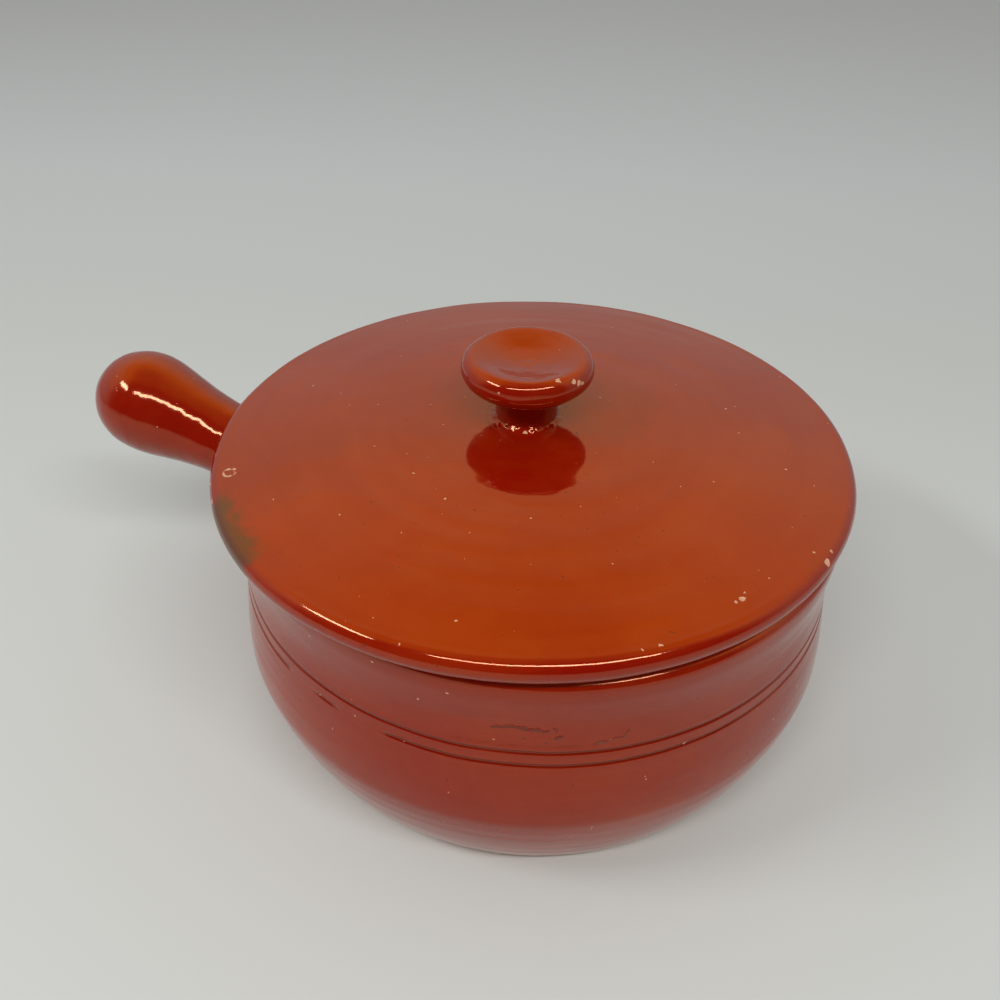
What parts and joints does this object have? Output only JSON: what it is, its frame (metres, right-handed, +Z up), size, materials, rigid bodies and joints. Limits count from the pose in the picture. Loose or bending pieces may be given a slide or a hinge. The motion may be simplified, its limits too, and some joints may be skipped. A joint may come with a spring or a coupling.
{
  "type": "earthenware saucepan with lid",
  "caption": "Glazed red earthenware saucepan with a round belly, a hollow club handle and a lift-off domed lid with a dished knob.",
  "frame": {"origin": "middle of the flat base, on the surface that the pan stands on", "axes": "+Z up, the handle points to -X, the bowl's own axis is Z"},
  "size_m": [0.3212, 0.24, 0.1582],
  "materials": {
    "glaze_body": "glossy clear lead-type glaze over red clay",
    "glaze_handle": "glossy clear lead-type glaze over red clay",
    "glaze_lid": "glossy clear lead-type glaze over red clay",
    "glaze_knob": "glossy clear lead-type glaze over red clay"
  },
  "bodies": {
    "pan": {"bowl": "glaze_body", "handle": "glaze_handle", "handle_luting": "glaze_handle"},
    "lid": {"lid": "glaze_lid", "knob": "glaze_knob", "knob_luting": "glaze_knob"}
  },
  "joints": [
    {"name": "lid_lift", "type": "slide", "parent": "pan", "child": "lid", "axis": [0, 0, 1], "range_m": [0, 0.12]}
  ]
}
